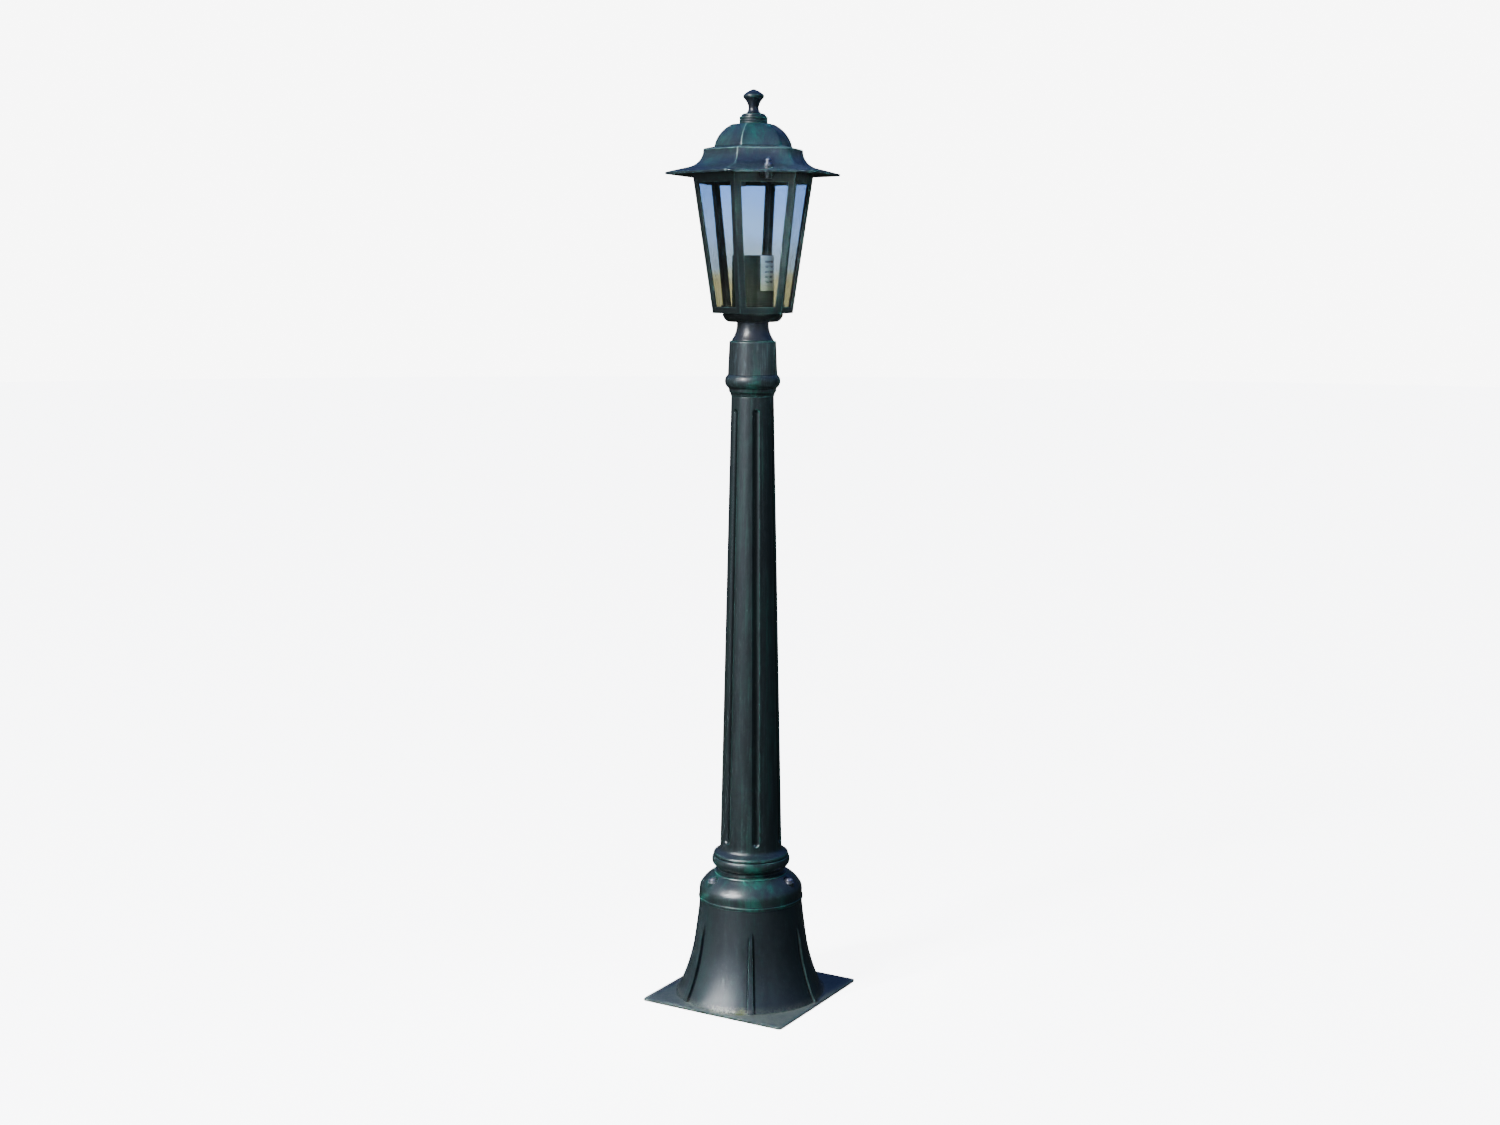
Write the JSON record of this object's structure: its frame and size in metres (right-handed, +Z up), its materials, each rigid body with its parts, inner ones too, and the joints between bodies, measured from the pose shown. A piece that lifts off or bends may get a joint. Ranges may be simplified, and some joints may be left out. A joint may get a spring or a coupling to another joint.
{
  "type": "garden lamp post",
  "caption": "Pedestal garden lamp: six-sided glazed lantern with a flared roof and finial, on a fluted tapered post with a bell base and square plate.",
  "frame": {"origin": "centre of the square base plate's underside", "axes": "+Z up along the post, X and Y along the plate's sides"},
  "size_m": [0.1942, 0.199, 1.05],
  "materials": {
    "base_paint": "cast, dark green-black paint with verdigris brushing",
    "cast_paint": "cast, dark green-black paint with verdigris brushing",
    "collar_paint": "cast, dark green-black paint with verdigris brushing",
    "stem_paint": "cast, dark green-black paint with verdigris brushing",
    "dish_paint": "cast, near-black paint",
    "cage_paint": "cast, dark green-black paint with verdigris brushing",
    "roof_paint": "cast, dark blue-green paint, worn along its ridges",
    "finial_paint": "cast, dark green-black paint with verdigris brushing",
    "glass": "clear, slightly dusty",
    "bright_steel": "bright",
    "zinc_steel": "zinc plated",
    "clip_steel": "spring steel",
    "dark_steel": "blackened",
    "brass": "plain",
    "pale_plastic": "moulded",
    "porcelain": "moulded thermoset, black",
    "sleeve_green": "moulded, dark green",
    "label": "printed film, left blank",
    "rubber": "moulded"
  },
  "bodies": {
    "post": {"base_bell": "base_paint", "post_shaft": "cast_paint", "base_screws": "bright_steel", "base_washers": "bright_steel", "terminal_bracket": "zinc_steel", "terminal_block": "pale_plastic", "terminal_screws": "brass", "earth_screw": "brass", "post_collar": "collar_paint", "collar_grub_screws": "dark_steel"},
    "lantern": {"lantern_stem": "stem_paint", "lantern_dish": "dish_paint", "floor_gasket": "rubber", "lantern_cage": "cage_paint", "glass_pane_1": "glass", "glass_pane_2": "glass", "glass_pane_3": "glass", "glass_pane_4": "glass", "glass_pane_5": "glass", "glass_pane_6": "glass", "pane_clips": "clip_steel", "roof_studs": "zinc_steel", "stem_nipple": "zinc_steel", "nipple_nut_top": "zinc_steel", "nipple_nut_bottom": "zinc_steel", "lampholder_bracket": "zinc_steel", "lampholder_body": "porcelain", "screw_shell": "brass", "lampholder_sleeve": "sleeve_green", "rating_label": "label"},
    "contact": {"centre_contact": "brass"},
    "roof": {"roof_shell": "roof_paint", "finial": "finial_paint", "finial_washer": "zinc_steel", "finial_screw": "zinc_steel"},
    "cap_nut_1": {"cap_nut_1": "bright_steel"},
    "cap_nut_2": {"cap_nut_2": "bright_steel"}
  },
  "joints": [
    {"name": "lantern_turn", "type": "hinge", "parent": "post", "child": "lantern", "pos_m": [0, 0, 0.75], "axis": [0, 0, 1], "range_deg": [-180, 180]},
    {"name": "roof_lift", "type": "slide", "parent": "lantern", "child": "roof", "axis": [0, 0, 1], "range_m": [0, 0.16]},
    {"name": "cap_nut_1_turn", "type": "hinge", "parent": "roof", "child": "cap_nut_1", "pos_m": [0.05057, -0.05538, 0.962], "axis": [0, 0, 1], "continuous": true},
    {"name": "cap_nut_2_turn", "type": "hinge", "parent": "roof", "child": "cap_nut_2", "pos_m": [-0.05057, 0.05538, 0.962], "axis": [0, 0, 1], "continuous": true},
    {"name": "contact_press", "type": "slide", "parent": "lantern", "child": "contact", "axis": [0, 0, -1], "range_m": [0, 0.0015], "stiffness_N_per_m": 1500}
  ]
}
